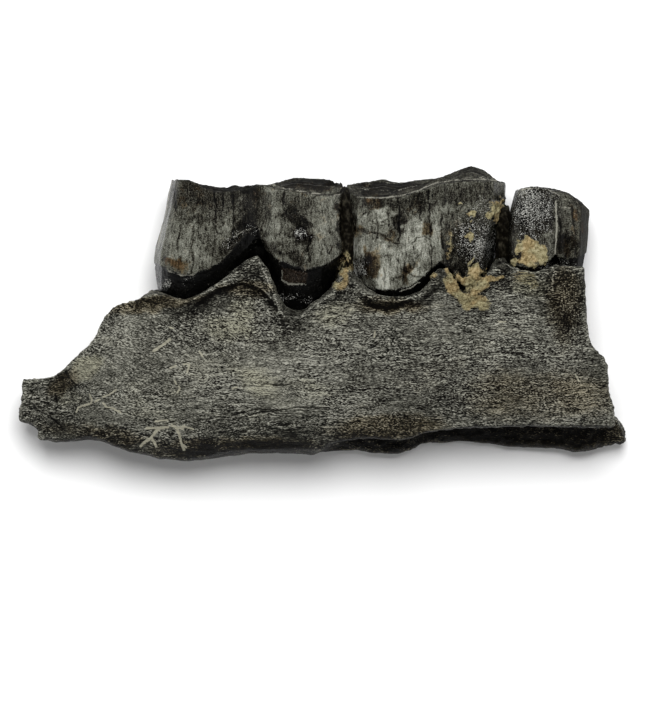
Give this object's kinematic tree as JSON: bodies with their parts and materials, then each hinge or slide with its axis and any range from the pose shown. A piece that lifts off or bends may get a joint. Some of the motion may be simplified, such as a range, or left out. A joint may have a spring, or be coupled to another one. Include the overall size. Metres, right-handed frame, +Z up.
{
  "type": "fossil deer jaw",
  "caption": "Fossil fragment of a deer's left lower jaw lying on its tongue side: a broken length of jawbone with cheek teeth in their sockets.",
  "frame": {"origin": "on the surface the fossil rests on, under the middle of its outline", "axes": "+X along the jaw towards its back end, +Y across it towards the teeth, +Z up out of its cheek side"},
  "size_m": [0.0609, 0.0297, 0.0112],
  "materials": {
    "mineralised_bone": "matt, fibrous, dark grey with pale flecks and tan sediment",
    "tooth_enamel": "glossy, pale grey enamel streaked with black, over black roots"
  },
  "bodies": {
    "root": {"jawbone": "mineralised_bone", "front_molar": "tooth_enamel", "middle_molar": "tooth_enamel", "rear_molar": "tooth_enamel"}
  },
  "joints": []
}
